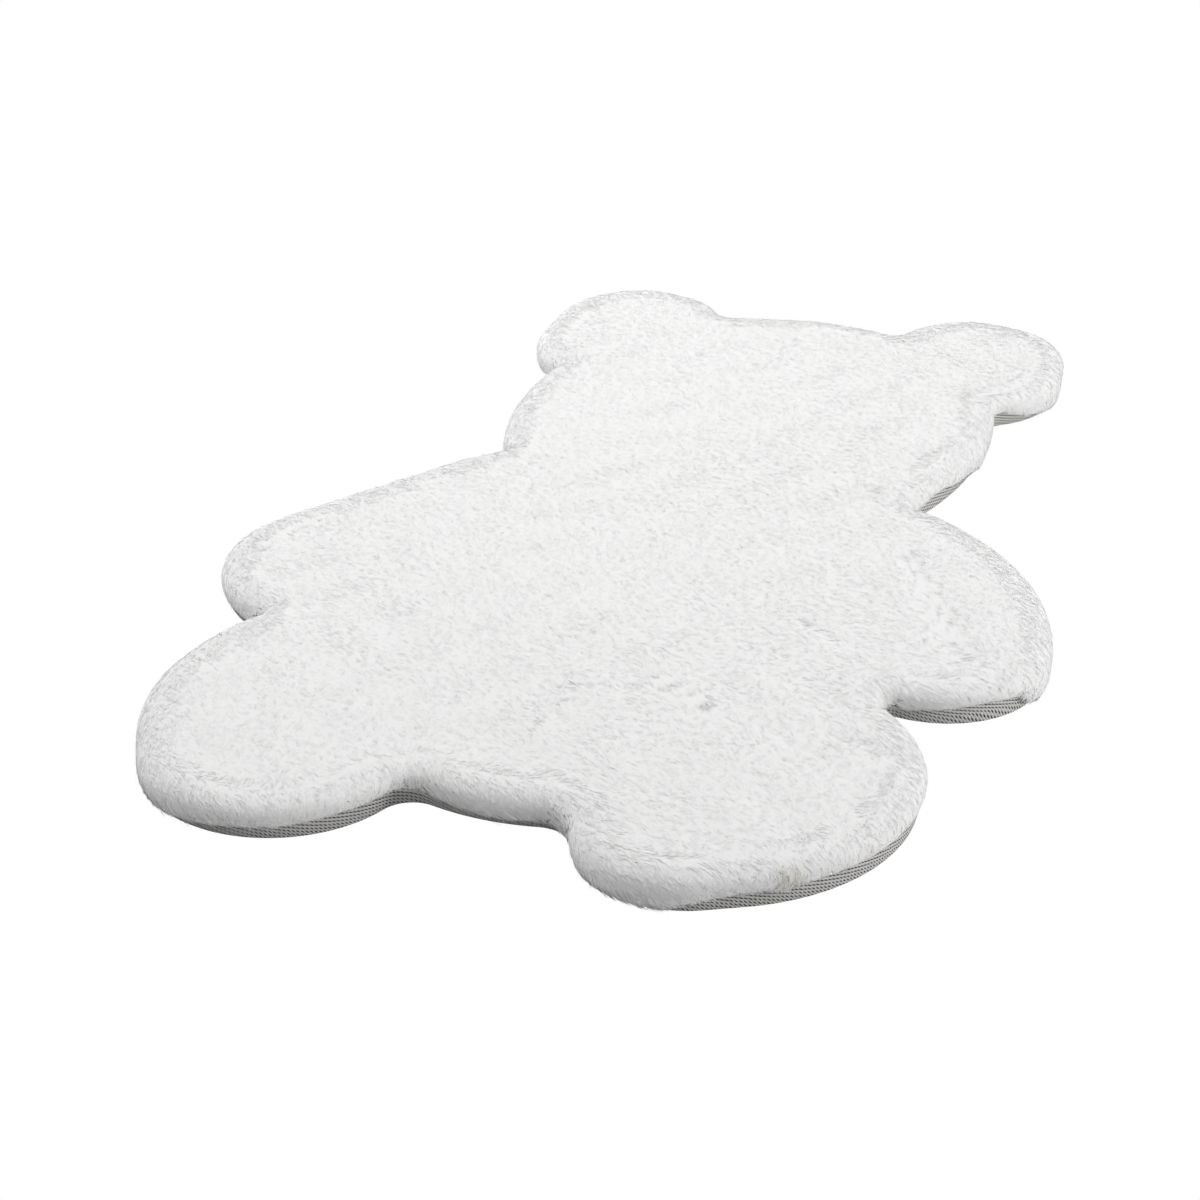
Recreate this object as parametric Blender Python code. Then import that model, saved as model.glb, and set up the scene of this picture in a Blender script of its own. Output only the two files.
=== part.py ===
"""Bear shaped plush rug: a fur panel with its cut edge bound in twill tape.

Units are metres. The rug lies flat on z = 0 with its pile up (+Z). The head points along +Y and the feet
along -Y. The origin is the middle of the rug's outer box, on the surface that it lies on.
"""

import math

import bmesh
import bpy
import numpy as np
from mathutils import Vector
from mathutils.geometry import delaunay_2d_cdt

# Pile and cloth of the fur panel
PILE_HEIGHT = 0.0265        # top of the pile over the floor, away from the rim
PILE_REACH = 0.0040         # how far the pile stands out past the tape's face
PILE_LEAN = 0.0010          # extra reach where the pile is brushed out over the rim
PILE_SPREAD = 0.25          # extra reach for each metre that the pile hangs down over the tape
PILE_BRUSHED = (0.71, -0.70)    # direction in which the pile is brushed, seen from above
LUMP_HEIGHT = 0.0007        # rise of one lump of the pile

# Locks, the tips of pile that hang over the tape
LOCKS = 182                 # round the whole rim
LOCK_REACH = 0.0016         # how far a full lock stands out past the rim between locks
LOCK_DROP = 0.0030          # how far a full lock hangs below the gaps beside it
LOCK_LOWEST = 0.0008        # no lock hangs nearer to the floor than this

# Binding tape, turned round the cut edge
TAPE_THICKNESS = 0.0010
TAPE_SIDE = 0.0125          # height of the tape's face, half of a tape 25 mm wide
TAPE_UNDER = 0.0120         # width of the part turned under the rug
TAPE_RISES = (
    # metres along the cut edge, half width, how much the tape's top edge rises there
    (0.610, 0.025, 0.0010),
    (1.007, 0.035, 0.0030),
)
GAP = 0.0003                # clearance between the tape and the panel

COLUMNS = 2 * LOCKS         # steps round the rim: one on each lock and one between two locks
ARC_STEP = 0.002            # spacing of the points from which the outline's even steps are taken
GRID_STEP = 0.0245          # distance between points of the pile's top
RIM_MARGIN = 0.013          # width of the strip next to the rim that the grid leaves free

# The outline is cut round these lobes, listed from the crown down to the seat. Each side of the bear gives
# the centre's distance from the middle line, its place along the rug, and the radius.
LOBES = (
    # name        right: across, along, radius   left: across, along, radius
    ("crown",     (0.000, 0.236, 0.217),         (0.000, 0.236, 0.217)),
    ("ear",       (0.158, 0.422, 0.075),         (0.157, 0.417, 0.072)),
    ("ear base",  (0.154, 0.379, 0.082),         (0.143, 0.360, 0.087)),
    ("cheek",     (-0.171, 0.243, 0.368),        (-0.160, 0.218, 0.357)),
    ("shoulder",  (0.052, -0.147, 0.251),        (0.010, -0.094, 0.241)),
    ("hand",      (0.231, -0.149, 0.073),        (0.204, -0.142, 0.105)),
    ("hip",       (0.116, -0.350, 0.139),        (0.093, -0.341, 0.176)),
    ("foot",      (0.124, -0.426, 0.067),        (0.157, -0.405, 0.090)),
    ("seat",      (0.000, -0.271, 0.159),        (0.000, -0.271, 0.159)),
)

# How each lobe meets the next: a notch of this inner radius, or a straight run where it is None.
JOINTS = (
    # name                right   left
    ("crown to ear",      0.015, 0.028),
    ("down the ear",      None,  None),
    ("ear to cheek",      0.018, 0.021),
    ("cheek to shoulder", 0.011, 0.016),
    ("shoulder to hand",  None,  None),
    ("hand to hip",       0.014, 0.013),
    ("hip to foot",       None,  None),
    ("foot to seat",      0.030, 0.023),
)

# Height from the floor to the fur round the rim: how much of the tape shows. Each row gives metres along
# the cut edge, clockwise from the crown, and millimetres.
LOWER_EDGE = (
    (0.000, 8.0), (0.127, 6.5), (0.245, 8.0), (0.353, 2.0), (0.373, 2.8), (0.399, 5.5), (0.411, 9.0),
    (0.422, 12.0), (0.446, 11.0), (0.476, 6.0), (0.523, 1.5), (0.557, 7.0), (0.580, 8.5), (0.604, 13.3),
    (0.620, 13.0), (0.645, 8.0), (0.755, 4.0), (0.904, 2.0), (0.964, 2.0), (0.976, 5.0), (0.987, 13.0),
    (1.011, 15.4), (1.033, 13.0), (1.067, 8.5), (1.095, 7.0), (1.143, 4.0), (1.193, 8.0), (1.215, 12.0),
    (1.243, 12.9), (1.300, 12.9), (1.339, 12.2), (1.352, 11.5), (1.361, 9.0), (1.370, 11.2), (1.394, 10.0),
    (1.408, 8.5), (1.422, 5.5), (1.433, 2.0), (1.494, 1.5), (1.542, 3.0), (1.556, 6.0), (1.588, 4.5),
    (1.617, 7.0), (1.644, 9.5), (1.654, 11.4), (1.677, 12.9), (1.695, 12.6), (1.712, 12.3), (1.743, 9.5),
    (1.772, 8.3), (1.797, 6.0), (1.826, 3.0), (1.895, 1.5), (1.993, 4.0), (2.085, 4.0), (2.127, 7.0),
    (2.227, 6.0), (2.375, 8.0), (2.577, 6.0), (2.723, 3.0), (2.866, 6.0), (3.013, 9.0), (3.118, 8.0),
)

# Soft creases in the pile: two ends, half width and depth.
CREASES = (
    # name        from x, y           to x, y            half width, depth
    ("belly",     (0.001, -0.285),    (0.069, -0.263),   0.008,      0.0010),
    ("dimple",    (0.092, -0.284),    (0.100, -0.283),   0.007,      0.0012),
    ("side",      (0.129, -0.159),    (0.151, -0.176),   0.007,      0.0016),
    ("arm",       (0.182, -0.019),    (0.253, -0.164),   0.012,      0.0020),
    ("thigh",     (0.187, -0.294),    (0.236, -0.314),   0.012,      0.0016),
)

FUR_COLOUR = (0.84, 0.84, 0.83)
TAPE_COLOUR = (0.42, 0.40, 0.375)


def clear_scene():
    """Remove whatever the new file opens with."""
    for thing in list(bpy.data.objects):
        bpy.data.objects.remove(thing, do_unlink=True)


def cloth_material(name, colour, roughness):
    """A plain dull finish for cloth or pile."""
    material = bpy.data.materials.new(name)
    material.use_nodes = True
    shader = material.node_tree.nodes["Principled BSDF"]
    shader.inputs["Base Color"].default_value = (*colour, 1.0)
    shader.inputs["Roughness"].default_value = roughness
    shader.inputs["Metallic"].default_value = 0.0
    return material


def straight_run(first, second):
    """Where the common outer tangent leaves the first circle and reaches the second, going clockwise."""
    step = second[:2] - first[:2]
    turn = math.asin((second[2] - first[2]) / np.hypot(*step))
    angle = math.atan2(step[1], step[0]) + turn
    outward = np.array((-math.sin(angle), math.cos(angle)))
    return first[:2] + outward * first[2], second[:2] + outward * second[2]


def notch(first, second, radius):
    """Centre of the circle of this radius that touches both lobes from outside, and where it touches them."""
    reach_first = first[2] + radius
    reach_second = second[2] + radius
    step = second[:2] - first[:2]
    distance = np.hypot(*step)
    along = (reach_first ** 2 - reach_second ** 2 + distance ** 2) / (2 * distance)
    out = math.sqrt(reach_first ** 2 - along ** 2)
    forward = step / distance
    outward = np.array((-forward[1], forward[0]))
    centre = first[:2] + forward * along + outward * out
    leave = first[:2] + (centre - first[:2]) * first[2] / reach_first
    reach = second[:2] + (centre - second[:2]) * second[2] / reach_second
    return centre, leave, reach


def arc(centre, start, end, direction):
    """Closely spaced points on the arc from start to end; direction is -1 for clockwise, 1 for the other."""
    from_centre = start - centre
    begin = math.atan2(from_centre[1], from_centre[0])
    to_end = end - centre
    sweep = (direction * (math.atan2(to_end[1], to_end[0]) - begin)) % (2 * math.pi)
    radius = np.hypot(*from_centre)
    count = max(4, int(radius * sweep / ARC_STEP))
    angle = begin + direction * np.linspace(0.0, sweep, count)
    return centre + radius * np.column_stack((np.cos(angle), np.sin(angle)))


def cut_outline():
    """Evenly spaced points round the cut edge, clockwise from the crown's middle.

    Gives the points, the outward direction at each and the length along the edge at each."""
    right = [np.array(row[1]) for row in LOBES]
    left = [np.array(row[2]) * (-1, 1, 1) for row in LOBES[1:-1]]
    lobes = right + left[::-1]
    joints = [row[1] for row in JOINTS] + [row[2] for row in JOINTS[::-1]]

    arrive = {}
    leave = {}
    notches = {}
    for i, radius in enumerate(joints):
        j = (i + 1) % len(lobes)
        if radius is None:
            leave[i], arrive[j] = straight_run(lobes[i], lobes[j])
        else:
            centre, leave[i], arrive[j] = notch(lobes[i], lobes[j], radius)
            notches[i] = centre

    stretches = []
    for i, lobe in enumerate(lobes):
        stretches.append(arc(lobe[:2], arrive[i], leave[i], -1))
        if i in notches:
            stretches.append(arc(notches[i], leave[i], arrive[(i + 1) % len(lobes)], 1)[1:-1])
    line = np.vstack(stretches)
    crown = lobes[0]
    start = np.hypot(*(line - (0.0, crown[1] + crown[2])).T).argmin()
    line = np.roll(line, -start, axis=0)
    closed = np.vstack((line, line[:1]))
    length = np.concatenate(((0.0,), np.cumsum(np.hypot(*np.diff(closed, axis=0).T))))
    stops = np.arange(COLUMNS) * length[-1] / COLUMNS
    edge = np.column_stack([np.interp(stops, length, closed[:, axis]) for axis in (0, 1)])
    ahead = np.roll(edge, -1, axis=0) - np.roll(edge, 1, axis=0)
    outward = np.column_stack((-ahead[:, 1], ahead[:, 0]))
    return edge, outward / np.hypot(*outward.T)[:, None], stops


def ring(edge, outward, offset, height):
    """Points at an offset out from the cut edge and at a height; both may change round the edge."""
    offset = np.broadcast_to(offset, len(edge))
    height = np.broadcast_to(height, len(edge))
    return np.column_stack((edge + outward * offset[:, None], height))


def strips(rings, columns, closed):
    """Quads that join each ring to the next, and the last one to the first where closed is true."""
    faces = []
    pairs = len(rings) if closed else len(rings) - 1
    for k in range(pairs):
        low = k * columns
        high = ((k + 1) % len(rings)) * columns
        for i in range(columns):
            j = (i + 1) % columns
            faces.append((low + i, high + i, high + j, low + j))
    return faces


def inside(points, loop):
    """True for each point that the closed loop goes round, by counting crossings of a ray along +X."""
    x, y = points[:, :1], points[:, 1:2]
    x0, y0 = loop[:, 0], loop[:, 1]
    x1, y1 = np.roll(x0, -1), np.roll(y0, -1)
    spans = (y0 > y) != (y1 > y)
    rise = np.where(y1 == y0, 1.0, y1 - y0)
    crossing = x0 + (y - y0) * (x1 - x0) / rise
    return (spans & (x < crossing)).sum(axis=1) % 2 == 1


def crease_depth(points, start, end, half_width, depth):
    """A soft trough along a short line, bell shaped across and fading past its ends."""
    start = np.array(start)
    run = np.array(end) - start
    share = np.clip(((points - start) @ run) / (run @ run), 0.0, 1.0)
    away = np.hypot(*(points - start - share[:, None] * run).T)
    return depth * np.exp(-(away / half_width) ** 2)


def pile_top(points):
    """Height of the pile: its own height, low uneven lumps and the creases."""
    x, y = points.T
    lumps = np.sin(x / 0.0098 + 1.3 * np.sin(y / 0.021)) + np.sin(y / 0.0117 + 1.7 * np.sin(x / 0.026))
    swell = np.sin(x / 0.043 + 0.6) * np.cos(y / 0.057 - 0.4)
    height = PILE_HEIGHT + LUMP_HEIGHT * (0.5 * lumps + 0.8 * swell)
    for name, start, end, half_width, depth in CREASES:
        height = height - crease_depth(points, start, end, half_width, depth)
    return height


def tape_height(stops):
    """Height of the tape's top edge at each length along the cut edge: even, with a few bell shaped rises."""
    return TAPE_SIDE + sum(rise * np.exp(-((stops - place) / wide) ** 2) for place, wide, rise in TAPE_RISES)


def lock_fullness():
    """How full each lock is, from 0 between locks to at most 1 on a tip, uneven from lock to lock."""
    number = np.arange(LOCKS)
    tip = 0.66 + 0.22 * np.sin(number * 2.4) + 0.12 * np.sin(number * 0.71 + 1.0)
    fullness = np.zeros(COLUMNS)
    fullness[::2] = tip
    return fullness


def add_object(name, points, faces, material):
    """A named object with its faces turned outwards, smooth but for its folded edges."""
    mesh = bpy.data.meshes.new(name)
    mesh.from_pydata(points.tolist(), [], faces)
    shape = bmesh.new()
    shape.from_mesh(mesh)
    bmesh.ops.recalc_face_normals(shape, faces=shape.faces)
    shape.to_mesh(mesh)
    shape.free()
    mesh.shade_smooth()
    mesh.set_sharp_from_angle(angle=math.radians(50))
    mesh.materials.append(material)
    thing = bpy.data.objects.new(name, mesh)
    bpy.context.scene.collection.objects.link(thing)
    return thing


def fur_shape(edge, outward, stops):
    """Points and faces of the fur: flat under, rebated for the tape, hanging over it, lumpy on top."""
    lock = lock_fullness()
    inner = -(TAPE_UNDER + 2 * GAP)
    behind = -(TAPE_THICKNESS + GAP)
    seat = TAPE_THICKNESS + GAP
    over_tape = tape_height(stops) + GAP
    lower_edge = np.minimum(np.interp(stops, *np.array(LOWER_EDGE).T) / 1000, over_tape + GAP)
    hanging = over_tape + GAP - lower_edge
    lock_end = np.clip(lower_edge + LOCK_DROP * (0.5 - lock), LOCK_LOWEST, over_tape + GAP)
    widest = 0.0100 + 0.5 * lower_edge
    reach = PILE_REACH + PILE_LEAN * (outward @ np.array(PILE_BRUSHED)) + PILE_SPREAD * hanging
    top_edge = ring(edge, outward, -0.014, 0.0)
    top_height = pile_top(top_edge[:, :2])
    rings = [
        ring(edge, outward, inner, 0.0),
        ring(edge, outward, inner, seat),
        ring(edge, outward, behind, seat),
        ring(edge, outward, behind, over_tape),
        ring(edge, outward, 2 * GAP, over_tape + GAP),
        ring(edge, outward, 0.45 * reach + LOCK_REACH * lock, lock_end),
        ring(edge, outward, 0.95 * reach + LOCK_REACH * lock, 0.5 * (lower_edge + widest)),
        ring(edge, outward, reach + 0.5 * LOCK_REACH * lock, widest + 0.0018),
        ring(edge, outward, reach - 0.0030, 0.0222 + 0.0004 * lock),
        ring(edge, outward, -0.0050, top_height - 0.0016),
        np.column_stack((top_edge[:, :2], top_height)),
    ]
    faces = strips(rings, COLUMNS, closed=False)
    faces.append(tuple(range(COLUMNS)))

    rim = top_edge[:, :2]
    low = rim.min(axis=0)
    high = rim.max(axis=0)
    rows = np.arange(low[1], high[1], GRID_STEP * math.sqrt(3) / 2)
    grid = []
    for number, y in enumerate(rows):
        shift = 0.5 * GRID_STEP * (number % 2)
        grid.extend((x, y) for x in np.arange(low[0] + shift, high[0], GRID_STEP))
    grid = np.array(grid)
    away = np.hypot(*(grid[:, None, :] - rim[None, :, :]).transpose(2, 0, 1)).min(axis=1)
    grid = grid[inside(grid, rim) & (away > RIM_MARGIN)]

    flat = [Vector(point) for point in np.vstack((rim, grid)).tolist()]
    border = [(i, (i + 1) % COLUMNS) for i in range(COLUMNS)]
    triangles = delaunay_2d_cdt(flat, border, [], 1, 1e-7)[2]
    first_top = (len(rings) - 1) * COLUMNS
    faces.extend(tuple(first_top + i for i in triangle) for triangle in triangles)
    return np.vstack(rings + [np.column_stack((grid, pile_top(grid)))]), faces


def tape_shape(edge, outward, stops):
    """Points and faces of the tape: a face up the rug's side and a leg turned under it."""
    top = tape_height(stops)
    rings = [
        ring(edge, outward, 0.0, 0.0),
        ring(edge, outward, 0.0, top),
        ring(edge, outward, -TAPE_THICKNESS, top),
        ring(edge, outward, -TAPE_THICKNESS, TAPE_THICKNESS),
        ring(edge, outward, -TAPE_UNDER, TAPE_THICKNESS),
        ring(edge, outward, -TAPE_UNDER, 0.0),
    ]
    return np.vstack(rings), strips(rings, COLUMNS, closed=True)


clear_scene()
outline = cut_outline()
fur_points, fur_faces = fur_shape(*outline)
tape_points, tape_faces = tape_shape(*outline)
middle = (fur_points.min(axis=0) + fur_points.max(axis=0)) / 2 * (1, 1, 0)
add_object("fur", fur_points - middle, fur_faces, cloth_material("plush_pile", FUR_COLOUR, 0.95))
add_object("binding_tape", tape_points - middle, tape_faces, cloth_material("twill_tape", TAPE_COLOUR, 0.85))
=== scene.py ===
# Looks of a bear shaped plush rug: white faux fur on a backing cloth, its cut edge bound in twill tape.
# Metres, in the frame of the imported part: the rug lies on z = 0, pile up, head along +Y.
import math

import bpy
import numpy as np
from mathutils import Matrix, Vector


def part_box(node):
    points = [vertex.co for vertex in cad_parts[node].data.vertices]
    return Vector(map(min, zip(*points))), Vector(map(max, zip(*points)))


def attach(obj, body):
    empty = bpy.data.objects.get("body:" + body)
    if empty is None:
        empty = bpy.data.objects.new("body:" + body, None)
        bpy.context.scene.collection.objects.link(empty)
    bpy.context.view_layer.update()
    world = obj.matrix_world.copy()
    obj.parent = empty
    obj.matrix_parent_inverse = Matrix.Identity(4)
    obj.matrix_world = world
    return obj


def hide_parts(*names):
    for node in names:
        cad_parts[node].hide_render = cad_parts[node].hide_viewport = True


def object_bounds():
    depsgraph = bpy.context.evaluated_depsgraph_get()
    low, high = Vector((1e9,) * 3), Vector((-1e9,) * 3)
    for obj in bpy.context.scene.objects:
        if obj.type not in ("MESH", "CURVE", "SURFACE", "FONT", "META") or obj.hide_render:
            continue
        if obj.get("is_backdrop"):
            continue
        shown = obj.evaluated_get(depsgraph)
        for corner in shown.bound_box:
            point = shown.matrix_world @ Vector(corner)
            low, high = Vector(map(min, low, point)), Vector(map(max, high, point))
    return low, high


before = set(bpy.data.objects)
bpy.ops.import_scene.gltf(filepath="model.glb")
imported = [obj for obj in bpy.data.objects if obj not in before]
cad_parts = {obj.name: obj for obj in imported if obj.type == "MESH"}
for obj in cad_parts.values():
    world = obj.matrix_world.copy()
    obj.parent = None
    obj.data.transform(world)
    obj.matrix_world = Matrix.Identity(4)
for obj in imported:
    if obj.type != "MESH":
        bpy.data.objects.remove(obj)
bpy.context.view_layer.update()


# ---- Studio -------------------------------------------------------------------------------------------
# A white floor, a large soft light overhead, a low one on either side and a camera at the photograph's
# height and angle. The front of the rug falls off to a light grey because no light comes from there.
CAMERA_PLACE = (0.4681, -1.6929, 0.8410)
CAMERA_DOWN = 26.91             # degrees below the horizon
CAMERA_TURN = 17.45             # degrees to the left of +Y
CAMERA_LENS = 74.52             # mm
CAMERA_SENSOR = 36.0            # mm across
SKY_STRENGTH = 0.30
FLOOR_HALF = 30                 # metres from the rug to the floor's sides

camera = bpy.data.objects.new("camera", bpy.data.cameras.new("camera"))
camera.data.lens = CAMERA_LENS
camera.data.sensor_width = CAMERA_SENSOR
camera.location = CAMERA_PLACE
camera.rotation_euler = (math.radians(90 - CAMERA_DOWN), 0.0, math.radians(CAMERA_TURN))
bpy.context.scene.collection.objects.link(camera)
bpy.context.scene.camera = camera
bpy.context.scene.view_settings.view_transform = "Standard"

sky = bpy.data.worlds.new("studio")
sky.use_nodes = True
sky.node_tree.nodes["Background"].inputs["Color"].default_value = (1.0, 1.0, 1.0, 1.0)
sky.node_tree.nodes["Background"].inputs["Strength"].default_value = SKY_STRENGTH
bpy.context.scene.world = sky

SOFTBOXES = (
    # name       wide, high (m)  power (W)  place                  rotation in degrees
    ("overhead", 3.4, 2.6,       57.0,      (-0.50, 0.75, 2.3),    (-16, -11, 0)),
    ("side",     1.6, 0.4,       34.0,      (2.3, -0.20, 0.26),    (0, 85, -6)),
    ("far",      1.8, 0.7,       21.0,      (-2.25, 0.85, 0.55),   (0, -77, -21)),
)
for name, wide, high, power, place, angles in SOFTBOXES:
    softbox = bpy.data.objects.new(name, bpy.data.lights.new(name, "AREA"))
    softbox.data.shape = "RECTANGLE"
    softbox.data.size = wide
    softbox.data.size_y = high
    softbox.data.energy = power
    softbox.location = place
    softbox.rotation_euler = [math.radians(angle) for angle in angles]
    bpy.context.scene.collection.objects.link(softbox)


def cloth_finish(name, colour, roughness):
    """A material with one Principled shader; returns it, its node tree and the shader."""
    material = bpy.data.materials.new(name)
    material.use_nodes = True
    shader = material.node_tree.nodes["Principled BSDF"]
    shader.inputs["Base Color"].default_value = (*colour, 1.0)
    shader.inputs["Roughness"].default_value = roughness
    return material, material.node_tree, shader


floor_mesh = bpy.data.meshes.new("floor")
floor_corners = [(x * FLOOR_HALF, y * FLOOR_HALF, 0) for x, y in ((-1, -1), (1, -1), (1, 1), (-1, 1))]
floor_mesh.from_pydata(floor_corners, [], [(0, 1, 2, 3)])
floor = bpy.data.objects.new("floor", floor_mesh)
floor_finish, floor_tree, floor_shader = cloth_finish("floor_white", (0.75, 0.75, 0.75), 0.9)
floor_shader.inputs["Specular IOR Level"].default_value = 0.0
lit_paper = floor_tree.nodes.new("ShaderNodeEmission")
seen = floor_tree.nodes.new("ShaderNodeLightPath")
either = floor_tree.nodes.new("ShaderNodeMixShader")
floor_tree.links.new(seen.outputs["Is Camera Ray"], either.inputs["Fac"])
floor_tree.links.new(floor_shader.outputs["BSDF"], either.inputs[1])
floor_tree.links.new(lit_paper.outputs["Emission"], either.inputs[2])
floor_tree.links.new(either.outputs["Shader"], floor_tree.nodes["Material Output"].inputs["Surface"])
floor_mesh.materials.append(floor_finish)
bpy.context.scene.collection.objects.link(floor)
floor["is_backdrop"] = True


# ---- Backing cloth ------------------------------------------------------------------------------------
# The bonded knit that the pile grows from, 1.6 mm thick. It is cut to the bear's outline, lies on the
# floor and rises by the tape's thickness where the tape is turned under its edge.
LOBES = (
    # name        right: across, along, radius   left: across, along, radius
    ("crown",     (0.000, 0.236, 0.217),         (0.000, 0.236, 0.217)),
    ("ear",       (0.158, 0.422, 0.075),         (0.157, 0.417, 0.072)),
    ("ear base",  (0.154, 0.379, 0.082),         (0.143, 0.360, 0.087)),
    ("cheek",     (-0.171, 0.243, 0.368),        (-0.160, 0.218, 0.357)),
    ("shoulder",  (0.052, -0.147, 0.251),        (0.010, -0.094, 0.241)),
    ("hand",      (0.231, -0.149, 0.073),        (0.204, -0.142, 0.105)),
    ("hip",       (0.116, -0.350, 0.139),        (0.093, -0.341, 0.176)),
    ("foot",      (0.124, -0.426, 0.067),        (0.157, -0.405, 0.090)),
    ("seat",      (0.000, -0.271, 0.159),        (0.000, -0.271, 0.159)),
)
JOINTS = (
    # name                right   left: radius of the notch, or None for a straight run
    ("crown to ear",      0.015, 0.028),
    ("down the ear",      None,  None),
    ("ear to cheek",      0.018, 0.021),
    ("cheek to shoulder", 0.011, 0.016),
    ("shoulder to hand",  None,  None),
    ("hand to hip",       0.014, 0.013),
    ("hip to foot",       None,  None),
    ("foot to seat",      0.030, 0.023),
)
HALF = 560                      # columns down each side of the bear
INNER = 0.014                   # distance of the innermost evenly offset ring from the cut edge
# the middle seam, from crown to seat: the share of the way down each side and how far along the rug
SEAM_WAY = (0, .006, .065, .147, .245, .296, .321, .425, .516, .750, .771, .860, .965, .994, 1)
SEAM_ALONG = (.425, .299, .218, .197, .185, .147, .116, .085, -.005, -.103, -.108, -.121, -.160, -.249, -.387)
SEAM_BOW = 0.029                # how far the lines from the rim to the seam bow inwards
BACKING_THICK = 0.0016
BACKING_LIFT = 0.0013           # its rise over the tape that is turned under
BACKING_COLOUR = (0.72, 0.71, 0.69)


def straight_run(first, second):
    """Where the common outer tangent leaves the first circle and reaches the second, going clockwise."""
    step = second[:2] - first[:2]
    turn = math.asin((second[2] - first[2]) / np.hypot(*step))
    angle = math.atan2(step[1], step[0]) + turn
    outward = np.array((-math.sin(angle), math.cos(angle)))
    return first[:2] + outward * first[2], second[:2] + outward * second[2]


def notch(first, second, radius):
    """Centre of the circle of this radius that touches both lobes from outside, and its touching points."""
    reach_first = first[2] + radius
    reach_second = second[2] + radius
    step = second[:2] - first[:2]
    distance = np.hypot(*step)
    along = (reach_first ** 2 - reach_second ** 2 + distance ** 2) / (2 * distance)
    out = math.sqrt(reach_first ** 2 - along ** 2)
    forward = step / distance
    centre = first[:2] + forward * along + np.array((-forward[1], forward[0])) * out
    leave = first[:2] + (centre - first[:2]) * first[2] / reach_first
    reach = second[:2] + (centre - second[:2]) * second[2] / reach_second
    return centre, leave, reach


def arc(centre, start, end, direction):
    """Points 0.5 mm apart on the arc from start to end; direction is -1 for clockwise, else 1."""
    from_centre = start - centre
    begin = math.atan2(from_centre[1], from_centre[0])
    to_end = end - centre
    sweep = (direction * (math.atan2(to_end[1], to_end[0]) - begin)) % (2 * math.pi)
    radius = np.hypot(*from_centre)
    angle = begin + direction * np.linspace(0.0, sweep, max(4, int(radius * sweep / 0.0005)))
    return centre + radius * np.column_stack((np.cos(angle), np.sin(angle)))


def cut_edge(half):
    """The outline, clockwise from the crown: half the points even down the right side, half up the left.

    Gives the points, the outward direction at each and the length so far at each."""
    right = [np.array(row[1]) for row in LOBES]
    left = [np.array(row[2]) * (-1, 1, 1) for row in LOBES[1:-1]]
    lobes = right + left[::-1]
    joints = [row[1] for row in JOINTS] + [row[2] for row in JOINTS[::-1]]
    arrive, leave, notches = {}, {}, {}
    for i, radius in enumerate(joints):
        j = (i + 1) % len(lobes)
        if radius is None:
            leave[i], arrive[j] = straight_run(lobes[i], lobes[j])
        else:
            notches[i], leave[i], arrive[j] = notch(lobes[i], lobes[j], radius)
    stretches = []
    for i, lobe in enumerate(lobes):
        stretches.append(arc(lobe[:2], arrive[i], leave[i], -1))
        if i in notches:
            stretches.append(arc(notches[i], leave[i], arrive[(i + 1) % len(lobes)], 1)[1:-1])
    line = np.vstack(stretches)
    crown, seat = lobes[0], LOBES[-1][1]
    top = np.array((0.0, crown[1] + crown[2]))
    line = np.roll(line, -np.hypot(*(line - top).T).argmin(), axis=0)
    line = np.vstack((line, line[:1]))
    length = np.concatenate(((0.0,), np.cumsum(np.hypot(*np.diff(line, axis=0).T))))
    turn = length[np.hypot(*(line - (0.0, seat[1] - seat[2])).T).argmin()]
    stops = np.concatenate((np.arange(half) * turn / half,
                            turn + np.arange(half) * (length[-1] - turn) / half))
    edge = np.column_stack([np.interp(stops, length, line[:, k]) for k in (0, 1)])
    ahead = np.roll(edge, -1, axis=0) - np.roll(edge, 1, axis=0)
    outward = np.column_stack((-ahead[:, 1], ahead[:, 0]))
    return edge, outward / np.hypot(*outward.T)[:, None], stops


edge, outward, stops = cut_edge(HALF)
SHIFT = np.array(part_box("binding_tape")[0])[:2] - edge.min(axis=0)
edge = edge + SHIFT
COLUMNS = 2 * HALF
column = np.arange(COLUMNS)
seam_column = np.minimum(column, COLUMNS - column)
seam = np.column_stack((np.full(HALF + 1, SHIFT[0]),
                        SHIFT[1] + np.interp(np.arange(HALF + 1) / HALF, SEAM_WAY, SEAM_ALONG)))


def ring(offset, height):
    """Points beside the cut edge, moved out by an offset and up to a height; both may change round it."""
    offset = np.broadcast_to(offset, COLUMNS)[:, None]
    return np.column_stack((edge + outward * offset, np.broadcast_to(height, COLUMNS)))


def inward(share):
    """Plan points a share of the way from the inner ring to the seam, leaving the ring at right angles."""
    start = edge - outward * INNER
    bow = SEAM_BOW * share * (1 - share) ** 2
    return start + (seam[seam_column] - start) * share - outward * bow


def skin(rows, seam_low, seam_high):
    """Points and quads of a closed shell: rings from the underside's seam out, up and in to the top's."""
    count = len(rows) * COLUMNS
    low = count + seam_column
    high = count + HALF + 1 + seam_column
    index = np.vstack((low, np.arange(count).reshape(-1, COLUMNS), high))
    after = np.roll(index, -1, axis=1)
    quads = np.stack((index[:-1], index[1:], after[1:], after[:-1]), axis=-1).reshape(-1, 4)
    return np.vstack((np.concatenate(rows), seam_low, seam_high)), quads


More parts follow.
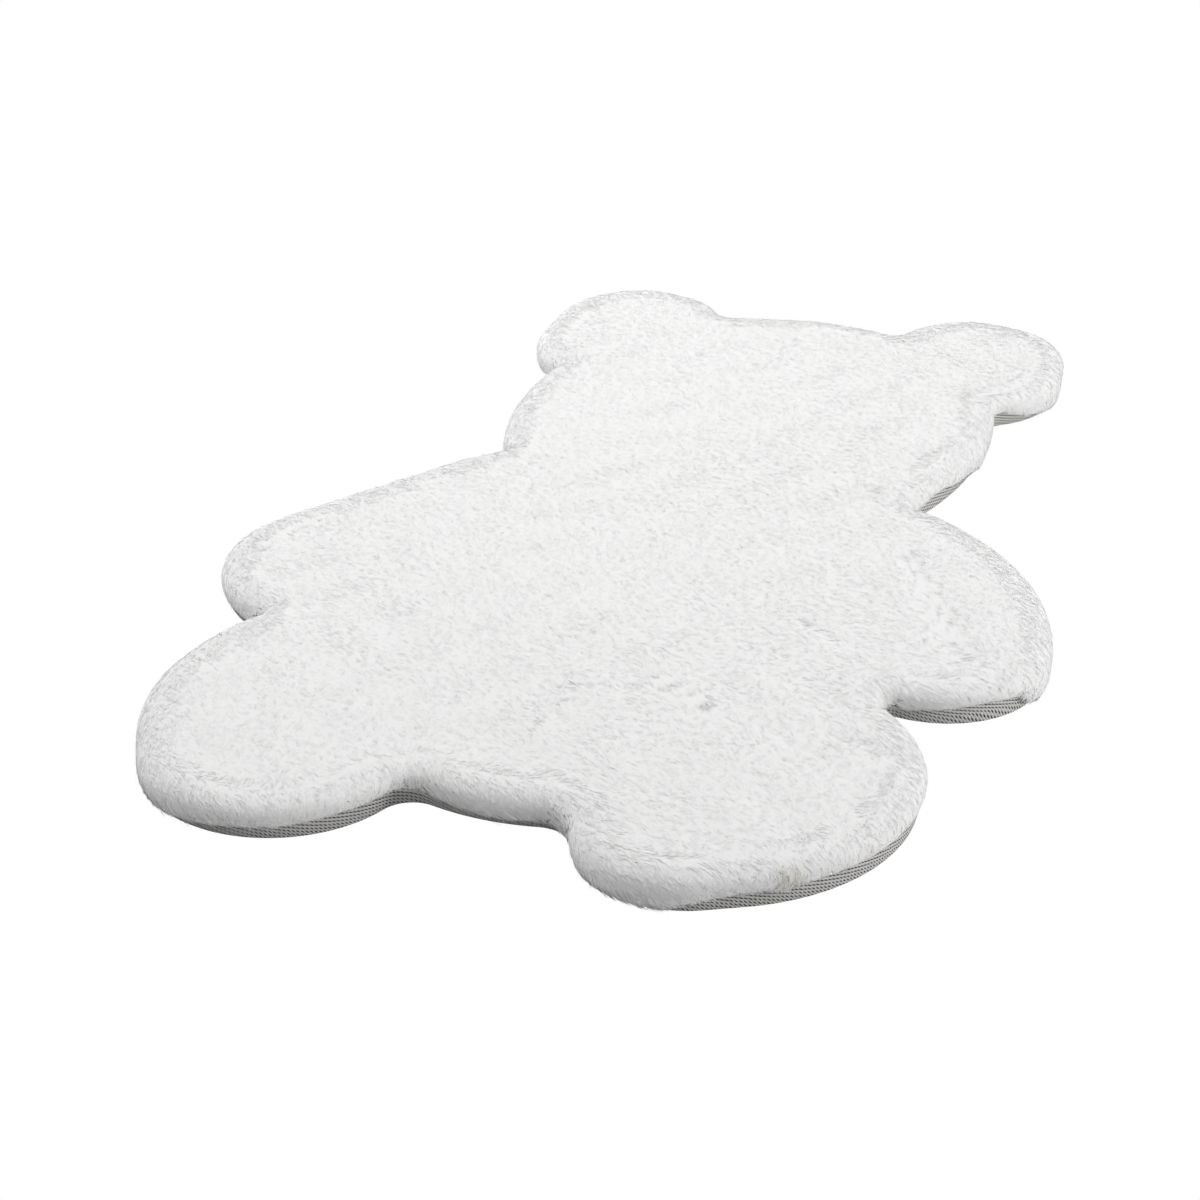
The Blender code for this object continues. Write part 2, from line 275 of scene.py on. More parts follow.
def add_piece(name, points, faces, material, slot_name):
    """A mesh object at the origin from an array of points and one of equal faces, riding on the rug."""
    mesh = bpy.data.meshes.new(name)
    mesh.vertices.add(len(points))
    mesh.vertices.foreach_set("co", points.astype(np.float32).ravel())
    mesh.loops.add(faces.size)
    mesh.polygons.add(len(faces))
    mesh.polygons.foreach_set("loop_start", np.arange(0, faces.size, faces.shape[1], dtype=np.int32))
    mesh.polygons.foreach_set("vertices", faces.astype(np.int32).ravel())
    mesh.update(calc_edges=True)
    mesh.shade_smooth()
    mesh.materials.append(material)
    piece = bpy.data.objects.new(name, mesh)
    bpy.context.scene.collection.objects.link(piece)
    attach(piece, "root")
    return piece


def link(tree, start, end):
    """One wire between two sockets."""
    tree.links.new(start, end)


def node(tree, kind, **values):
    """A node with some of its own settings and of its inputs' values set, spaces in names as underscores."""
    made = tree.nodes.new(kind)
    for key, value in values.items():
        if hasattr(made, key):
            setattr(made, key, value)
        else:
            made.inputs[key.replace("_", " ")].default_value = value
    return made


BACKING_SECTION = (
    # offset from the cut edge, height: out along the underside, over the tape and back along the top
    (-0.0180, 0.0),
    (-0.0135, 0.0),
    (-0.0122, BACKING_LIFT),
    (-0.0040, BACKING_LIFT),
    (-0.0016, BACKING_LIFT),
    (-0.0013, BACKING_LIFT + 0.3 * BACKING_THICK),
    (-0.0013, BACKING_LIFT + 0.7 * BACKING_THICK),
    (-0.0016, BACKING_LIFT + BACKING_THICK),
    (-0.0120, BACKING_LIFT + BACKING_THICK),
    (-0.0180, BACKING_THICK),
)
backing_rows = [np.column_stack((inward(0.5), np.zeros(COLUMNS)))]
backing_rows += [ring(offset, height) for offset, height in BACKING_SECTION]
backing_rows.append(np.column_stack((inward(0.5), np.full(COLUMNS, BACKING_THICK))))

backing_finish, tree, shader = cloth_finish("bonded_knit", BACKING_COLOUR, 0.92)
shader.inputs["Sheen Weight"].default_value = 0.15
place = node(tree, "ShaderNodeTexCoord")
courses = node(tree, "ShaderNodeTexWave", bands_direction="Y", Scale=520.0, Distortion=0.6, Detail=1.0)
wales = node(tree, "ShaderNodeTexWave", bands_direction="X", Scale=440.0, Distortion=0.4, Detail=1.0)
knit = node(tree, "ShaderNodeMath", operation="MULTIPLY")
knit_bump = node(tree, "ShaderNodeBump", Strength=0.5, Distance=0.0003)
# the base colour is up to a quarter darker where the knit's courses and wales are low, the same pattern that
# drives its bump
knit_darkening = node(tree, "ShaderNodeMixRGB", blend_type="MULTIPLY", Fac=0.25, Color1=(*BACKING_COLOUR, 1.0))
link(tree, place.outputs["Object"], courses.inputs["Vector"])
link(tree, place.outputs["Object"], wales.inputs["Vector"])
link(tree, courses.outputs["Fac"], knit.inputs[0])
link(tree, wales.outputs["Fac"], knit.inputs[1])
link(tree, knit.outputs[0], knit_bump.inputs["Height"])
link(tree, knit_bump.outputs["Normal"], shader.inputs["Normal"])
link(tree, knit.outputs[0], knit_darkening.inputs["Color2"])
link(tree, knit_darkening.outputs["Color"], shader.inputs["Base Color"])
backing = add_piece("backing", *skin(backing_rows, np.column_stack((seam, np.zeros(HALF + 1))),
                                     np.column_stack((seam, np.full(HALF + 1, BACKING_THICK)))),
                    backing_finish, "plush_pile")
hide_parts("fur")


# ---- Dense pile ---------------------------------------------------------------------------------------
# The mass of the pile below its tips: fine polyester fibre, brushed one way, so dense that it reads as a
# soft lumpy body. It rolls over at the rim, stands out past the tape and has a few pressed creases.
PILE_TOP = 0.0254               # height of the dense pile; the tips of the locks stand above it
PILE_REACH = 0.0040             # how far the finished pile stands out past the tape's face
PILE_LEAN = 0.0010              # extra reach where it is brushed out over the rim
PILE_SPREAD = 0.25              # extra reach for each metre that it hangs down over the tape
PILE_BRUSHED = np.array((0.71, -0.70, 0.0))     # the way that the pile lies
PILE_COLOUR = (0.86, 0.86, 0.855)
LUMP_HEIGHT = 0.0007
TIP_DEPTH = 0.0010              # the dense body stays this far inside the tips at the rim
PILE_FLOOR = 0.0011             # underside of the dense pile, sunk into the backing cloth
REBATE_FLOOR = 0.0022           # the same where the cloth rises over the tape
REBATE_BACK = -0.0024           # where the pile stands behind the tape, from the cut edge
OVER_TAPE = 0.0004              # clearance between the tape's top edge and the pile over it
TIPS_BELOW = 0.0006             # how far the tips of the locks hang below the dense pile
RIM_WIDEST = 0.0100             # height where the rim stands out most, if its fur reached the floor
LIP = 0.0007                    # how far out the rim's lower edge lies, if its fur ended on the tape's top
RIM_TURNS = (-90, -70, -50, -30, -14)       # degrees round the rim's lower quarter, ring by ring
CROWN_RINGS = 13                # rings round the rim's upper quarter
TOP_RINGS = 34                  # rings from there to the seam
TAPE_TOP = 0.0125               # height of the tape's top edge, more where the fur is pushed up
TAPE_RISES = (
    # metres along the cut edge, half width, rise
    (1.007, 0.035, 0.0030),
    (0.610, 0.025, 0.0010),
)
LOWER_EDGE = (
    # metres along the cut edge, clockwise from the crown, and millimetres from the floor to the fur
    (0.000, 8.0), (0.127, 6.5), (0.245, 8.0), (0.353, 2.0), (0.373, 2.8), (0.399, 5.5), (0.411, 9.0),
    (0.422, 12.0), (0.446, 11.0), (0.476, 6.0), (0.523, 1.5), (0.557, 7.0), (0.580, 8.5), (0.604, 13.3),
    (0.620, 13.0), (0.645, 8.0), (0.755, 4.0), (0.904, 2.0), (0.964, 2.0), (0.976, 5.0), (0.987, 13.0),
    (1.011, 15.4), (1.033, 13.0), (1.067, 8.5), (1.095, 7.0), (1.143, 4.0), (1.193, 8.0), (1.215, 12.0),
    (1.243, 12.9), (1.300, 12.9), (1.339, 12.2), (1.352, 11.5), (1.361, 9.0), (1.370, 11.2), (1.394, 10.0),
    (1.408, 8.5), (1.422, 5.5), (1.433, 2.0), (1.494, 1.5), (1.542, 3.0), (1.556, 6.0), (1.588, 4.5),
    (1.617, 7.0), (1.644, 9.5), (1.654, 11.4), (1.677, 12.9), (1.695, 12.6), (1.712, 12.3), (1.743, 9.5),
    (1.772, 8.3), (1.797, 6.0), (1.826, 3.0), (1.895, 1.5), (1.993, 4.0), (2.085, 4.0), (2.127, 7.0),
    (2.227, 6.0), (2.375, 8.0), (2.577, 6.0), (2.723, 3.0), (2.866, 6.0), (3.013, 9.0), (3.118, 8.0),
)
CREASES = (
    # name        from x, y           to x, y            half width, depth
    ("belly",     (0.001, -0.285),    (0.069, -0.263),   0.0060,     0.0007),
    ("dimple",    (0.092, -0.284),    (0.100, -0.283),   0.0050,     0.0010),
    ("side",      (0.131, -0.148),    (0.160, -0.170),   0.0050,     0.0009),
    ("arm",       (0.182, -0.019),    (0.253, -0.164),   0.0110,     0.0016),
    ("thigh",     (0.187, -0.294),    (0.236, -0.314),   0.0100,     0.0012),
)


def crease_depth(points, start, end, half_width, depth):
    """A soft trough along a short line, bell shaped across and fading past its ends."""
    start = np.array(start) + SHIFT
    run = np.array(end) + SHIFT - start
    share = np.clip(((points - start) @ run) / (run @ run), 0.0, 1.0)
    away = np.linalg.norm(points - start - share[..., None] * run, axis=-1)
    return depth * np.exp(-(away / half_width) ** 2)


def pile_height(points):
    """Height of the dense pile: low uneven lumps, a wider slow swell under them, and the creases."""
    x, y = np.moveaxis(points - SHIFT, -1, 0)
    lumps = np.sin(x / 0.0098 + 1.3 * np.sin(y / 0.021)) + np.sin(y / 0.0117 + 1.7 * np.sin(x / 0.026))
    swell = np.sin(x / 0.043 + 0.6) * np.cos(y / 0.057 - 0.4)
    height = PILE_TOP + LUMP_HEIGHT * (0.5 * lumps + 0.8 * swell)
    for name, start, end, half_width, depth in CREASES:
        height = height - crease_depth(points, start, end, half_width, depth)
    return height


def tape_height(along):
    """Height of the tape's top edge at each length along the cut edge: even, with bell shaped rises."""
    rises = (rise * np.exp(-((along - middle) / wide) ** 2) for middle, wide, rise in TAPE_RISES)
    return TAPE_TOP + sum(rises)


over_tape = tape_height(stops) + OVER_TAPE
lower_edge = np.interp(stops, *np.array(LOWER_EDGE).T) / 1000
lower_edge = np.minimum(lower_edge + TIPS_BELOW, over_tape)
hanging = over_tape - lower_edge
widest = RIM_WIDEST + 0.5 * lower_edge
brushed_out = outward @ PILE_BRUSHED[:2]
reach = PILE_REACH + PILE_LEAN * brushed_out + PILE_SPREAD * hanging - TIP_DEPTH
crown_row = pile_height(edge - outward * INNER)
lip = LIP + 0.25 * hanging
pile_rows = [
    np.column_stack((inward(0.5), np.full(COLUMNS, PILE_FLOOR))),
    ring(-INNER, REBATE_FLOOR),
    ring(REBATE_BACK, REBATE_FLOOR),
    ring(REBATE_BACK, over_tape),
    ring(0.0006, over_tape),
    ring(0.5 * lip, 0.5 * (over_tape + lower_edge)),
]
RIM_FIRST = len(pile_rows)      # the ring at the rim's lower edge
for turn in np.radians(RIM_TURNS):
    pile_rows.append(ring(lip + (reach - lip) * math.cos(turn),
                          widest + (widest - lower_edge) * math.sin(turn)))
for turn in np.radians(np.linspace(0, 90, CROWN_RINGS)):
    across = math.cos(turn) ** 0.85
    pile_rows.append(ring(-INNER + (reach + INNER) * across,
                          widest + (crown_row - widest) * math.sin(turn) ** 0.9))
RIM_LAST = len(pile_rows) - 1   # the ring where the rim ends and the top begins
for share in np.linspace(0, 1, TOP_RINGS)[1:-1]:
    plan = inward(share)
    pile_rows.append(np.column_stack((plan, pile_height(plan))))

pile_finish, tree, shader = cloth_finish("plush_pile_dense", PILE_COLOUR, 0.95)
shader.inputs["Specular IOR Level"].default_value = 0.1
shader.inputs["Sheen Weight"].default_value = 0.2
shader.inputs["Sheen Roughness"].default_value = 0.6
place = node(tree, "ShaderNodeTexCoord")
comb = node(tree, "ShaderNodeMapping", Rotation=(0.0, 0.0, math.radians(44.6)), Scale=(120.0, 900.0, 300.0))
strands = node(tree, "ShaderNodeTexNoise", Scale=1.0, Detail=3.0, Roughness=0.6)
strand_bump = node(tree, "ShaderNodeBump", Strength=0.15, Distance=0.0012)
link(tree, place.outputs["Object"], comb.inputs["Vector"])
link(tree, comb.outputs["Vector"], strands.inputs["Vector"])
link(tree, strands.outputs["Fac"], strand_bump.inputs["Height"])
link(tree, strand_bump.outputs["Normal"], shader.inputs["Normal"])
pile = add_piece("pile_dense", *skin(pile_rows, np.column_stack((seam, np.full(HALF + 1, PILE_FLOOR))),
                                     np.column_stack((seam, pile_height(seam)))),
                 pile_finish, "plush_pile")
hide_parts("fur")


# ---- Locks of the top ---------------------------------------------------------------------------------
# The tips of the pile, lying in small locks the way that it was brushed, down and to the right. Each lock
# is one closed three-sided spike that runs out to a point, and neighbours lean towards a shared tip.
TOP_LOCKS = 112000
LOCK_LONG = 0.0105
LOCK_WIDE = 0.0013
CLUMP = 0.0052                  # distance between the small bunches that share a tip
GATHER = 0.45                   # share of the way to its bunch's middle that a tip leans
LIFTED = 0.012                  # share of the locks that stand up off the others
LIFTED_MORE = 0.12              # how much larger that share is in the middle of a mussed spot
RIM_STRIP = 0.0080              # width of the strip of the top that belongs to the rim's locks
# painted shade and light: each lock is darker at its root, where shade falls under its neighbours, and
# lighter at its tip, where it catches the light
LOCK_ROOT_PAINTED_SHADE = (0.86, 0.86, 0.855, 1.0)
LOCK_TIP_PAINTED_LIGHT = (0.90, 0.90, 0.895, 1.0)
CREAM = (0.70, 0.66, 0.53, 1.0)
MUSSED = (
    # x, y, radius
    (0.241, -0.158, 0.012),
    (0.213, -0.301, 0.012),
    (0.203, -0.310, 0.009),
    (0.150, 0.030, 0.012),
)


def unit(vectors):
    """Vectors divided by their lengths."""
    return vectors / np.maximum(np.linalg.norm(vectors, axis=-1, keepdims=True), 1e-12)


def scattered(rows, count, seed):
    """Even places over a grid of rows: the row and column of each as numbers with fractions.

    Every cell holds as many places as its area asks for, spread inside it by two irrational steps."""
    over = np.roll(rows, -1, axis=1)
    one, two, three, four = rows[:-1], over[:-1], over[1:], rows[1:]
    area = np.linalg.norm(np.cross(three - one, four - two), axis=-1) / 2
    total = np.cumsum(area.ravel())
    random = np.random.default_rng(seed)
    number = np.arange(count)
    cell = np.searchsorted(total, (number + random.random(count)) / count * total[-1])
    row, column = np.divmod(np.minimum(cell, area.size - 1), rows.shape[1])
    return (row + (number * 0.5698402910 + 0.08 * random.random(count)) % 1.0,
            column + (number * 0.7548776662 + 0.08 * random.random(count)) % 1.0)


def between(field, row, column):
    """Values of a field of rows at numbers with fractions, blended from four; the columns go round."""
    row = np.clip(row, 0, len(field) - 1.000001)
    r, c = np.floor(row).astype(int), np.floor(column).astype(int)
    v, u = (row - r)[:, None], (column - c)[:, None]
    c, d = c % COLUMNS, (c + 1) % COLUMNS
    return ((field[r, c] * (1 - u) + field[r, d] * u) * (1 - v)
            + (field[r + 1, c] * (1 - u) + field[r + 1, d] * u) * v)


def facing_of(rows):
    """Outward direction at each point of a grid of rows."""
    across = np.roll(rows, -1, axis=1) - np.roll(rows, 1, axis=1)
    return unit(np.cross(np.gradient(rows, axis=0), across))


def hashed(first, second, salt):
    """A repeatable random number from 0 to 1 for each pair of whole numbers."""
    mixed = np.sin(first * 127.1 + second * 311.7 + salt * 74.7) * 43758.5453
    return mixed - np.floor(mixed)


def nearest_clump(points):
    """For each plan point, the way to the nearest clump's middle, and that clump's pair of whole numbers."""
    cell = np.floor(points / CLUMP)
    best = np.full(len(points), 1e9)
    way = np.zeros_like(points)
    name = np.zeros_like(points)
    for dx in (-1, 0, 1):
        for dy in (-1, 0, 1):
            other = cell + (dx, dy)
            jitter = np.column_stack((hashed(*other.T, 1), hashed(*other.T, 2)))
            to = (other + jitter) * CLUMP - points
            away = np.hypot(*to.T)
            nearer = away < best
            best = np.where(nearer, away, best)
            way[nearer] = to[nearer]
            name[nearer] = other[nearer]
    return way, name


def lock_bodies(line, facing, width):
    """Closed three-sided locks: three corners at all but the last point of each line, and a tip there.

    Takes the lines, the surface's direction at their points and the widths at the roots. Gives the points,
    triangles, soft directions for shading and the share of the way gone at each point."""
    count, rings = len(line), line.shape[1] - 1
    ahead = unit(np.diff(line, axis=1))
    side = unit(np.cross(ahead, facing[:, :rings]))
    above = np.cross(side, ahead)
    gone = np.linspace(0.0, 1.0, rings + 1)
    half = (0.5 * width[:, None] * (1 - 0.3 * gone[:rings]))[..., None]
    root = line[:, :rings]
    corners = np.stack((root + side * half, root + above * (0.20 * half), root - side * half), axis=2)
    points = np.concatenate((corners.reshape(count, rings * 3, 3), line[:, rings:]), axis=1)
    soft = unit(facing + (0.0, 0.0, 0.6))
    near = soft[:, :rings]
    soft = np.concatenate((np.stack((near + 0.06 * side, near, near - 0.06 * side), axis=2)
                           .reshape(count, rings * 3, 3), soft[:, rings:]), axis=1)
    shape = [(0, 1, 2)]
    for k in range(rings - 1):
        a, b = 3 * k, 3 * k + 3
        for i, j in ((0, 1), (1, 2), (2, 0)):
            shape += [(a + j, a + i, b + i), (a + j, b + i, b + j)]
    a, tip = 3 * (rings - 1), 3 * rings
    shape += [(a + 1, a, tip), (a + 2, a + 1, tip), (a, a + 2, tip)]
    faces = (np.arange(count)[:, None, None] * (tip + 1) + np.array(shape)).reshape(-1, 3)
    way = np.broadcast_to(np.append(np.repeat(gone[:rings], 3), 1.0), (count, tip + 1))
    return points.reshape(-1, 3), faces, unit(soft).reshape(-1, 3), way.ravel()


def add_locks(name, shape, own, tint, material):
    """A piece of joined locks, with soft shading and a map of the way from root to tip, lock by lock."""
    points, faces, soft, way = shape
    piece = add_piece(name, points, faces, material, "plush_pile")
    piece.data.normals_split_custom_set_from_vertices(soft.astype(np.float32))
    each = len(points) // len(own)
    layer = piece.data.uv_layers.new(name="lock")
    spot = np.column_stack((way, np.repeat(own, each)))[faces.ravel()]
    layer.uv.foreach_set("vector", spot.astype(np.float32).ravel())
    cream = piece.data.attributes.new("cream", "FLOAT", "POINT")
    cream.data.foreach_set("value", np.repeat(tint, each).astype(np.float32))
    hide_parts("fur")
    return piece


def brushed_way(points):
    """The brushed direction in plan, turned a little by slow waves across the rug."""
    x, y = (points[:, :2] - SHIFT).T
    turn = (0.20 * np.sin(x / 0.060 + 1.1 * np.sin(y / 0.085))
            + 0.16 * np.sin(y / 0.047 - 1.3 * np.sin(x / 0.070)))
    cos, sin = np.cos(turn), np.sin(turn)
    bx, by = PILE_BRUSHED[:2]
    return np.column_stack((bx * cos - by * sin, bx * sin + by * cos, np.zeros(len(points))))


def turned(way, angle):
    """Plan directions turned by an angle."""
    cos, sin = np.cos(angle), np.sin(angle)
    x, y, z = way.T
    return np.column_stack((x * cos - y * sin, x * sin + y * cos, z))


lock_finish, tree, shader = cloth_finish("plush_pile_tips", (0.88, 0.88, 0.875), 0.9)
shader.inputs["Specular IOR Level"].default_value = 0.15
shader.inputs["Sheen Weight"].default_value = 0.2
shader.inputs["Sheen Roughness"].default_value = 0.5
spot = node(tree, "ShaderNodeUVMap", uv_map="lock")
parts = node(tree, "ShaderNodeSeparateXYZ")
# the lock's colour runs from the painted shade at its root to the painted highlight at its tip
fibre = node(tree, "ShaderNodeMixRGB", blend_type="MIX", Color1=LOCK_ROOT_PAINTED_SHADE, Color2=LOCK_TIP_PAINTED_LIGHT)
own_tone = node(tree, "ShaderNodeMapRange", To_Min=0.985, To_Max=1.0)
toned = node(tree, "ShaderNodeMixRGB", blend_type="MULTIPLY", Fac=1.0)
cream_share = node(tree, "ShaderNodeAttribute", attribute_name="cream")
creamy = node(tree, "ShaderNodeMixRGB", blend_type="MIX", Color2=CREAM)
link(tree, spot.outputs["UV"], parts.inputs[0])
link(tree, parts.outputs["X"], fibre.inputs["Fac"])
link(tree, parts.outputs["Y"], own_tone.inputs["Value"])
link(tree, fibre.outputs["Color"], toned.inputs["Color1"])
link(tree, own_tone.outputs["Result"], toned.inputs["Color2"])
link(tree, toned.outputs["Color"], creamy.inputs["Color1"])
link(tree, cream_share.outputs["Fac"], creamy.inputs["Fac"])
link(tree, creamy.outputs["Color"], shader.inputs["Base Color"])

top_rows = np.array(pile_rows[RIM_LAST:] + [np.column_stack((seam, pile_height(seam)))[seam_column]])
row, column = scattered(top_rows, TOP_LOCKS, 11)
root = between(top_rows, row, column)
away = np.hypot(*(root - between(top_rows, 0 * row, column))[:, :2].T)
inside = away > RIM_STRIP * (0.3 + 0.9 * hashed(np.arange(TOP_LOCKS), 0, 9))
row, column, root = row[inside], column[inside], root[inside]
count = len(root)
facing = between(facing_of(top_rows), row, column)
random = np.random.default_rng(12)
to_clump, clump = nearest_clump(root[:, :2])
clump_turn = (hashed(*clump.T, 3) - 0.5) * 0.7
clump_long = 0.85 + 0.3 * hashed(*clump.T, 5)
length = LOCK_LONG * clump_long * random.uniform(0.75, 1.15, count)
mussed = sum(np.exp(-((root[:, 0] - x) ** 2 + (root[:, 1] - y) ** 2) / size ** 2) for x, y, size in MUSSED)
way = turned(brushed_way(root), (clump_turn + random.normal(0.0, 0.16, count)) * (1 + 3 * mussed))[:, :2]
tip = root[:, :2] + way * length[:, None] + GATHER * to_clump
stand = random.uniform(0.00002, 0.00016, count) + 0.00008 * hashed(*clump.T, 4)
lifted = random.random(count) < LIFTED + LIFTED_MORE * mussed
stand = np.where(lifted, random.uniform(0.0005, 0.0011, count), stand)
line = np.stack((root - facing * 0.0002, np.column_stack((tip, pile_height(tip) + stand))), axis=1)
width = LOCK_WIDE * random.uniform(0.7, 1.2, count) * np.where(lifted, 0.45, 1.0)
own = random.random(count)
zones = (("locks_head", 0.13, 9.0), ("locks_body", -0.16, 0.13), ("locks_legs", -9.0, -0.16))
for name, low, high in zones:
    pick = (root[:, 1] >= low) & (root[:, 1] < high)
    shape = lock_bodies(line[pick], np.repeat(unit(facing[pick])[:, None], 2, axis=1), width[pick])
    add_locks(name, shape, own[pick], np.zeros(pick.sum()), lock_finish)


# ---- Locks of the rim ---------------------------------------------------------------------------------
# The pile that rolls over the edge: longer bent locks that sweep the way the pile is brushed, sink under
# their own weight and hang unevenly over the tape. Those of a tuft near the right foot are creamy.
RIM_LOCKS = 28500
RIM_LONG = 0.0115
RIM_WIDE = 0.0012
WISPS = 4000                    # thin single strands that stand off the rim or hang over the tape
WISP_LONG = 0.0105
WISP_WIDE = 0.0004
SPLAY = 0.30                    # how far the pile opens outwards at its cut edge
DROP = 0.0016                   # how much lower than the rest whole bunches may hang
FLOOR_CLEAR = 0.0004            # no lock comes nearer to the floor
CREAMY = (
    # metres along the cut edge, half width, height up the rim, share of the creamy colour
    (1.356, 0.0100, 0.0235, 0.65),
    (1.393, 0.0030, 0.0060, 0.90),
)
TUFTY = (
    # metres along the cut edge, half width, height of what stands in points, how much more than the rest
    (0.980, 0.0060, 0.0200, 2.0),
    (1.356, 0.0110, 0.0260, 2.5),
    (1.465, 0.0500, 0.0110, 1.5),
    (1.600, 0.0300, 0.0110, 1.5),
    (1.660, 0.0150, 0.0200, 1.2),
    (1.865, 0.0750, 0.0110, 1.5),
)
HANG = 0.45                     # pull of its own weight where the rim is steep

rim_rows = pile_rows[RIM_FIRST:RIM_LAST + 1]
for share in (0.4, 1.0, 1.8, 2.6):
    plan = ring(-INNER - share * RIM_STRIP, 0.0)[:, :2]
    rim_rows.append(np.column_stack((plan, pile_height(plan))))
rim_rows = np.array(rim_rows)
rim_facing = facing_of(rim_rows)
rim_along = np.roll(rim_rows, -1, axis=1) - np.roll(rim_rows, 1, axis=1)
profile_steps = np.linalg.norm(np.diff(rim_rows, axis=0), axis=-1).mean(axis=1)
profile_run = np.concatenate(((0.0,), np.cumsum(profile_steps)))


def combed(row, column, own_turn, length, below, stand):
    """Lines of three points that lie on the rim: from each place the way that the pile is brushed there.

    The way is the brushed direction, opened outwards and pulled down where the rim is steep. It is gone
    along the rim's own surface and, past its lower edge, straight down by no more than a set length. Gives
    the lines, the surface's direction along them, the lengths so far along the edge and from its low edge."""
    root = between(rim_rows, row, column)
    facing = unit(between(rim_facing, row, column))
    along = unit(between(rim_along, row, column))
    step = np.linalg.norm(between(rim_along, row, column), axis=1) / 2
    from_lip = np.interp(row, np.arange(len(profile_run)), profile_run)
    place = column * stops[1]
    to_clump, clump = nearest_clump(np.column_stack((place, from_lip)))
    tufty = sum(more * np.exp(-((place - middle) / half) ** 2) * np.clip((high - from_lip) / 0.004, 0, 1)
                for middle, half, high, more in TUFTY)
    gather = GATHER + 0.15 * tufty
    stand = stand * (1 + tufty)
    down = np.cross(facing, along)
    down *= np.sign(down @ (0, 0, -1) + 0.001)[:, None]
    steep = 1.0 - np.clip(facing[:, 2], 0.0, 1.0)
    brushed = turned(brushed_way(root), (hashed(*clump.T, 6) - 0.5) * 0.8 + own_turn)
    go_along = (brushed * along).sum(axis=1)
    go_down = (brushed * down).sum(axis=1) + SPLAY + HANG * steep
    size = np.hypot(go_along, go_down)
    go_along = go_along / size * length + gather * to_clump[:, 0]
    go_down = go_down / size * length - gather * to_clump[:, 1]
    floor_left = np.interp(column, np.arange(COLUMNS), lower_edge) - TIPS_BELOW
    most = from_lip + np.minimum(below + (DROP + 0.0010 * tufty) * hashed(*clump.T, 8), floor_left)
    go_down = np.where(go_down > most, most, go_down)
    line, facings = [], []
    for gone, height in ((0.0, -0.0003), (0.5, 0.45 * stand), (1.0, stand)):
        far = from_lip - go_down * gone
        there = np.interp(far, profile_run, np.arange(len(profile_run)))
        turn_round = column + go_along * gone / step
        facing = unit(between(rim_facing, there, turn_round))
        point = between(rim_rows, there, turn_round) + facing * np.reshape(height, (-1, 1))
        point[:, 2] = np.maximum(point[:, 2] + np.minimum(far, 0.0), FLOOR_CLEAR)
        line.append(point)
        facings.append(facing)
    return np.stack(line, axis=1), np.stack(facings, axis=1), place, from_lip


random = np.random.default_rng(22)
row, column = scattered(rim_rows[:-2], RIM_LOCKS, 21)
length = RIM_LONG * random.uniform(0.70, 1.15, RIM_LOCKS)
locks = combed(row, column, random.normal(0.0, 0.18, RIM_LOCKS), length,
               random.uniform(0.0002, 0.0008, RIM_LOCKS), random.uniform(0.0001, 0.0004, RIM_LOCKS))
wide = RIM_WIDE * random.uniform(0.7, 1.2, RIM_LOCKS)
row, column = scattered(rim_rows[:-3], WISPS, 23)
length = WISP_LONG * random.uniform(0.70, 1.25, WISPS)
wisps = combed(row, column, random.normal(0.0, 0.5, WISPS), length,
               random.uniform(0.0005, 0.0045, WISPS), random.uniform(0.0006, 0.0020, WISPS))
wide = np.append(wide, WISP_WIDE * random.uniform(0.7, 1.2, WISPS))
line, facing, place, from_lip = (np.concatenate(pair) for pair in zip(locks, wisps))
own = random.random(len(line))
cream = sum(share * ((abs(place - middle) < half) & (from_lip < high))
            for middle, half, high, share in CREAMY) * (0.4 + 0.6 * own)
for name, pick in (("rim_locks_right", line[:, 0, 0] >= 0), ("rim_locks_left", line[:, 0, 0] < 0)):
    shape = lock_bodies(line[pick], facing[pick], wide[pick])
    add_locks(name, shape, own[pick], cream[pick], lock_finish)


# ---- Binding tape -------------------------------------------------------------------------------------
# One length of cotton twill tape, 25 mm wide and 1 mm thick, folded round the cut edge and sewn: half of
# it stands up the rug's side and half is turned under. It is woven in herringbone, grey-taupe.
TAPE_COLUMNS = 1500
TAPE_THICK = 0.0010
TAPE_UNDER = 0.0120             # how far it reaches under the rug
TAPE_BEND = 0.0011              # radius of its fold at the floor
TAPE_THREAD = (0.66, 0.65, 0.635)
# painted shade: the grooves between the ribs are coloured near black to stand in for the shade that falls
# there; the ribs' relief is also a bump
TAPE_RIB_SHADE = (0.040, 0.038, 0.036)            # the shade between the ribs
TAPE_RIBS = ((0.20, 0.0025), (1.1, 0.0026))     # slope along the tape and pitch of two sets that cross

tape_edge, tape_outward, tape_stops = cut_edge(TAPE_COLUMNS // 2)
tape_edge = tape_edge + SHIFT
corner = np.radians(np.linspace(0, 90, 5))
# the tape's section, as offsets from the cut edge and heights: those of the face and the back are from
# the tape's top edge, those of the outer and the inner run from the floor
FACE = ((0.0, -0.0003), (0.0001, -0.0025), (0.0002, -0.0050), (0.0001, -0.0080))
outer = ([(-TAPE_BEND + TAPE_BEND * math.cos(a), TAPE_BEND - TAPE_BEND * math.sin(a)) for a in corner]
         + [(-0.0045, 0.0), (-0.0080, 0.0), (-TAPE_UNDER + 0.0003, 0.0)])
inner = [(-TAPE_UNDER, 0.0003), (-TAPE_UNDER, 0.0007), (-TAPE_UNDER + 0.0003, TAPE_THICK),
         (-0.0080, TAPE_THICK), (-0.0045, TAPE_THICK), (-0.0014, TAPE_THICK),
         (-TAPE_THICK, 0.0014), (-TAPE_THICK, 0.0044)]
BACK = ((-TAPE_THICK, -0.0050), (-TAPE_THICK, -0.0003), (-0.0007, 0.0), (-0.0003, 0.0))
profile = np.array(list(FACE) + outer + inner + list(BACK))
from_top = np.zeros(len(profile))
from_top[:len(FACE)] = 1
